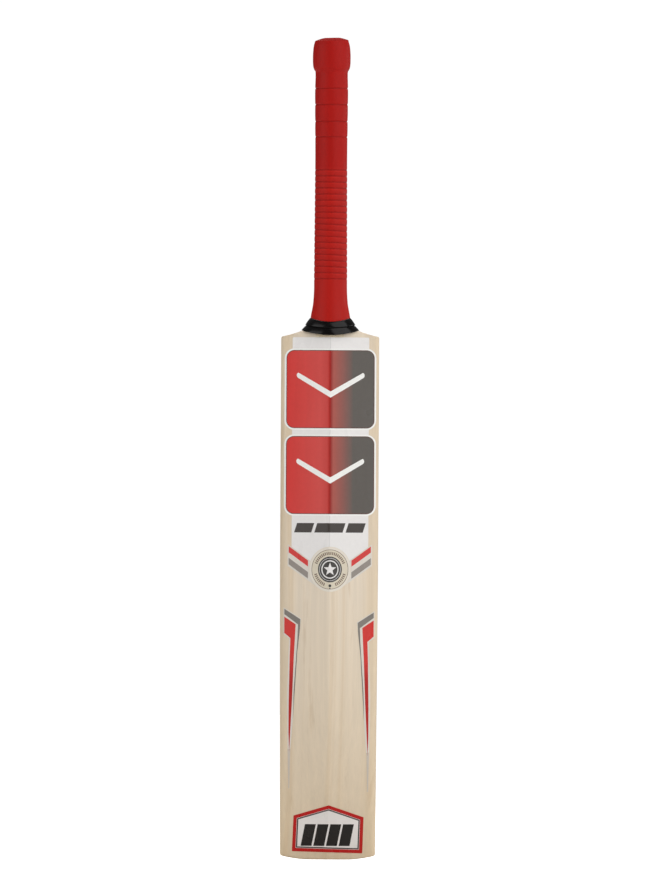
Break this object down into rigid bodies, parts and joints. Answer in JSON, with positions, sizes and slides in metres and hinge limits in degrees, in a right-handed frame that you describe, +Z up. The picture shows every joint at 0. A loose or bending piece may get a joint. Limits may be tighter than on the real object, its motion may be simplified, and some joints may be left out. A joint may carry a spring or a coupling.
{
  "type": "cricket bat",
  "caption": "Full-size cricket bat: a flat-faced willow blade with a ridged back, spliced to a cane handle under a ribbed red rubber grip.",
  "frame": {"origin": "centre of the overall box, on the plane that the toe stands on", "axes": "+Z up the bat from the toe to the handle's end, +Y out of the flat hitting face, so the ridged back faces -Y"},
  "size_m": [0.1046, 0.0696, 0.876],
  "materials": {
    "willow": "bare willow, lightly oiled and satin, straight fine grain along the blade",
    "cane": "bare cane with fine dark pores along its length",
    "spring_rubber": "matte dark rubber",
    "twine": "waxed linen twine, wound turn by turn",
    "grip_rubber": "moulded red rubber, satin, with fine ribs and ringed bands",
    "collar": "glossy black",
    "label_vinyl": "printed vinyl sheet, satin, white ground",
    "chevron_vinyl": "printed vinyl, red bar over a grey bar with white margins",
    "seal_vinyl": "printed vinyl, tan ring with a white rim and a dark centre",
    "stripe_vinyl": "printed vinyl, red flag with a grey stripe and a pale border",
    "badge_vinyl": "printed vinyl, white field inside a red border"
  },
  "bodies": {
    "root": {"willow_blade": "willow", "cane_layer1_left": "cane", "cane_layer1_middle": "cane", "cane_layer1_right": "cane", "cane_layer2_left": "cane", "cane_layer2_middle": "cane", "cane_layer2_right": "cane", "cane_layer3_left": "cane", "cane_layer3_middle": "cane", "cane_layer3_right": "cane", "cane_layer4_left": "cane", "cane_layer4_middle": "cane", "cane_layer4_right": "cane", "rubber_spring_back": "spring_rubber", "rubber_spring_middle": "spring_rubber", "rubber_spring_front": "spring_rubber", "twine_binding": "twine", "rubber_grip": "grip_rubber", "collar_upper_ring": "collar", "collar_lower_ring": "collar", "back_label": "label_vinyl", "chevron_label_left": "chevron_vinyl", "chevron_label_right": "chevron_vinyl", "seal_label": "seal_vinyl", "stripe_label_left": "stripe_vinyl", "stripe_label_right": "stripe_vinyl", "toe_badge": "badge_vinyl"}
  },
  "joints": []
}
